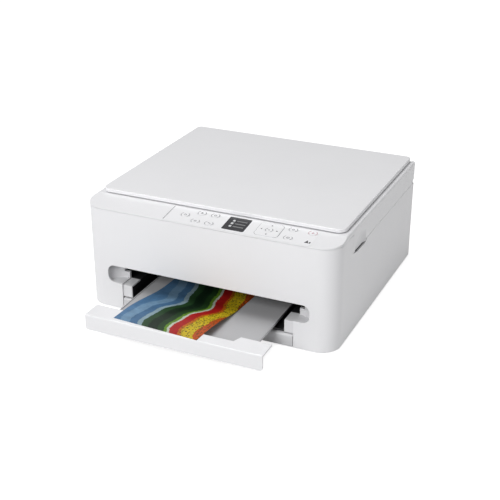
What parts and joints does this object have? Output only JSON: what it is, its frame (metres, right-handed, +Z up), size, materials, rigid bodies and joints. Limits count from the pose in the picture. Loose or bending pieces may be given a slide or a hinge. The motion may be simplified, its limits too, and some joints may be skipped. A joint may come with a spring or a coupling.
{
  "type": "multifunction printer",
  "caption": "White desktop inkjet printer with a flatbed scanner lid, sloped control strip, front cassette and a pulled-out output tray holding a print.",
  "frame": {"origin": "on the desk, under the middle of the printer's length and width with its output tray pulled out", "axes": "+Z up, +X to the right seen from the front, +Y from the front to the rear"},
  "size_m": [0.376, 0.449, 0.1643],
  "materials": {
    "white_shell": "fine satin texture",
    "control_film": "satin film",
    "display": "gloss",
    "grey_tray": "satin",
    "photo_paper": "gloss print",
    "black_plastic": "fine matte",
    "colour_cartridge": "satin",
    "grey_guides": "satin",
    "gear_plastic": "smooth",
    "rubber": "matte",
    "feed_coating": "grit coating",
    "steel": "zinc plated",
    "board": "solder mask",
    "glass": "clear",
    "pad_white": "foam with a smooth white sheet"
  },
  "bodies": {
    "case": {"main_case": "white_shell", "base_pan": "black_plastic", "rubber_feet": "rubber", "guide_block_right": "white_shell", "guide_block_left": "white_shell", "exit_channel": "black_plastic", "engine_chassis": "steel", "guide_rod": "steel", "platen": "black_plastic", "feed_motor": "steel", "carriage_motor": "steel", "carriage_belt": "rubber", "purge_unit": "black_plastic", "rear_cover": "white_shell", "power_supply": "black_plastic", "main_board": "board", "inner_cover": "black_plastic", "upper_hinge_pins": "steel"},
    "tray": {"output_tray": "grey_tray", "tray_lip": "white_shell", "printed_sheet": "photo_paper"},
    "cassette": {"cassette": "black_plastic", "cassette_front": "white_shell"},
    "guide_right": {"paper_guide_right": "grey_guides"},
    "guide_left": {"paper_guide_left": "grey_guides"},
    "feed": {"feed_roller": "feed_coating", "feed_gear": "gear_plastic"},
    "exit": {"exit_roller": "rubber", "exit_gear": "gear_plastic"},
    "idler": {"idler_gear": "gear_plastic"},
    "pinion": {"motor_pinion": "gear_plastic"},
    "pinch": {"pinch_roller": "rubber"},
    "carriage": {"carriage": "black_plastic", "ink_cartridge_black": "black_plastic", "ink_cartridge_colour": "colour_cartridge"},
    "drive_pulley": {"carriage_pulley": "gear_plastic"},
    "idler_pulley": {"carriage_idler": "gear_plastic"},
    "pickup_arm": {"pickup_arm": "black_plastic"},
    "pickup_roller": {"pickup_roller": "rubber"},
    "scanner": {"scanner_frame": "white_shell", "scanner_base": "black_plastic", "scan_glass": "glass", "scan_rod": "steel", "control_panel": "control_film", "display_window": "display", "button_board": "board"},
    "scan_bar": {"scan_bar": "black_plastic"},
    "lid_legs": {"lid_hinge_legs": "grey_guides"},
    "lid": {"lid": "white_shell", "lid_pad": "pad_white"},
    "function_button_1_key": {"function_button_1": "control_film"},
    "function_button_2_key": {"function_button_2": "control_film"},
    "function_button_3_key": {"function_button_3": "control_film"},
    "function_button_4_key": {"function_button_4": "control_film"},
    "function_button_5_key": {"function_button_5": "control_film"},
    "start_black_button_key": {"start_black_button": "control_film"},
    "start_colour_button_key": {"start_colour_button": "control_film"},
    "stop_button_key": {"stop_button": "control_film"},
    "direction_pad_key": {"direction_pad": "control_film"},
    "ok_button_key": {"ok_button": "control_film"}
  },
  "joints": [
    {"name": "tray_slide", "type": "slide", "parent": "case", "child": "tray", "axis": [0, 1, 0], "range_m": [0, 0.099]},
    {"name": "cassette_slide", "type": "slide", "parent": "case", "child": "cassette", "axis": [0, -1, 0], "range_m": [0, 0.25]},
    {"name": "guide_right_slide", "type": "slide", "parent": "cassette", "child": "guide_right", "axis": [-1, 0, 0], "range_m": [0, 0.055]},
    {"name": "guide_left_slide", "type": "slide", "parent": "cassette", "child": "guide_left", "axis": [1, 0, 0], "range_m": [0, 0.055]},
    {"name": "scanner_hinge", "type": "hinge", "parent": "case", "child": "scanner", "pos_m": [0, 0.2175, 0.1242], "axis": [-1, 0, 0], "range_deg": [0, 35]},
    {"name": "lid_lift", "type": "slide", "parent": "scanner", "child": "lid_legs", "axis": [0, 0, 1], "range_m": [0, 0.01]},
    {"name": "lid_hinge", "type": "hinge", "parent": "lid_legs", "child": "lid", "pos_m": [0, 0.218, 0.1602], "axis": [-1, 0, 0], "range_deg": [0, 80]},
    {"name": "scan_bar_slide", "type": "slide", "parent": "scanner", "child": "scan_bar", "axis": [1, 0, 0], "range_m": [0, 0.3]},
    {"name": "carriage_slide", "type": "slide", "parent": "case", "child": "carriage", "axis": [-1, 0, 0], "range_m": [0, 0.224]},
    {"name": "drive_pulley_spin", "type": "hinge", "parent": "case", "child": "drive_pulley", "pos_m": [-0.152, 0.09, 0.103], "axis": [0, 1, 0], "continuous": true},
    {"name": "idler_pulley_spin", "type": "hinge", "parent": "case", "child": "idler_pulley", "pos_m": [0.152, 0.09, 0.103], "axis": [0, 1, 0], "continuous": true},
    {"name": "feed_spin", "type": "hinge", "parent": "case", "child": "feed", "pos_m": [0, 0.0745, 0.062], "axis": [1, 0, 0], "continuous": true},
    {"name": "exit_spin", "type": "hinge", "parent": "case", "child": "exit", "pos_m": [0, 0.0065, 0.062], "axis": [1, 0, 0], "continuous": true},
    {"name": "idler_spin", "type": "hinge", "parent": "case", "child": "idler", "pos_m": [-0.171, 0.0405, 0.062], "axis": [1, 0, 0], "continuous": true},
    {"name": "pinion_spin", "type": "hinge", "parent": "case", "child": "pinion", "pos_m": [-0.171, 0.1025, 0.062], "axis": [1, 0, 0], "continuous": true},
    {"name": "pinch_spin", "type": "hinge", "parent": "case", "child": "pinch", "pos_m": [0, 0.08643, 0.06498], "axis": [1, 0, 0], "continuous": true},
    {"name": "arm_swing", "type": "hinge", "parent": "case", "child": "pickup_arm", "pos_m": [0, 0.1065, 0.034], "axis": [-1, 0, 0], "range_deg": [0, 20], "stiffness_Nm_per_rad": 0.06, "springref_deg": -40.11},
    {"name": "pickup_spin", "type": "hinge", "parent": "pickup_arm", "child": "pickup_roller", "pos_m": [0, 0.1465, 0.028], "axis": [1, 0, 0], "continuous": true},
    {"name": "function_button_1_press", "type": "slide", "parent": "scanner", "child": "function_button_1_key", "axis": [0, 0.1306, -0.9914], "range_m": [0, 0.0005], "stiffness_N_per_m": 400},
    {"name": "function_button_2_press", "type": "slide", "parent": "scanner", "child": "function_button_2_key", "axis": [0, 0.1306, -0.9914], "range_m": [0, 0.0005], "stiffness_N_per_m": 400},
    {"name": "function_button_3_press", "type": "slide", "parent": "scanner", "child": "function_button_3_key", "axis": [0, 0.1306, -0.9914], "range_m": [0, 0.0005], "stiffness_N_per_m": 400},
    {"name": "function_button_4_press", "type": "slide", "parent": "scanner", "child": "function_button_4_key", "axis": [0, 0.1306, -0.9914], "range_m": [0, 0.0005], "stiffness_N_per_m": 400},
    {"name": "function_button_5_press", "type": "slide", "parent": "scanner", "child": "function_button_5_key", "axis": [0, 0.1306, -0.9914], "range_m": [0, 0.0005], "stiffness_N_per_m": 400},
    {"name": "start_black_button_press", "type": "slide", "parent": "scanner", "child": "start_black_button_key", "axis": [0, 0.1306, -0.9914], "range_m": [0, 0.0005], "stiffness_N_per_m": 400},
    {"name": "start_colour_button_press", "type": "slide", "parent": "scanner", "child": "start_colour_button_key", "axis": [0, 0.1306, -0.9914], "range_m": [0, 0.0005], "stiffness_N_per_m": 400},
    {"name": "stop_button_press", "type": "slide", "parent": "scanner", "child": "stop_button_key", "axis": [0, 0.1306, -0.9914], "range_m": [0, 0.0005], "stiffness_N_per_m": 400},
    {"name": "direction_pad_press", "type": "slide", "parent": "scanner", "child": "direction_pad_key", "axis": [0, 0.1306, -0.9914], "range_m": [0, 0.0005], "stiffness_N_per_m": 400},
    {"name": "ok_button_press", "type": "slide", "parent": "scanner", "child": "ok_button_key", "axis": [0, 0.1306, -0.9914], "range_m": [0, 0.0005], "stiffness_N_per_m": 400}
  ],
  "couplings": [
    {"joint": "guide_left_slide", "follows": "guide_right_slide", "ratio": 1},
    {"joint": "drive_pulley_spin", "follows": "carriage_slide", "rad_per_m": 144.93},
    {"joint": "idler_pulley_spin", "follows": "carriage_slide", "rad_per_m": 144.93},
    {"joint": "exit_spin", "follows": "feed_spin", "ratio": 1},
    {"joint": "idler_spin", "follows": "feed_spin", "ratio": -1.8333},
    {"joint": "pinion_spin", "follows": "feed_spin", "ratio": -3.6667},
    {"joint": "pinch_spin", "follows": "feed_spin", "ratio": -3}
  ]
}
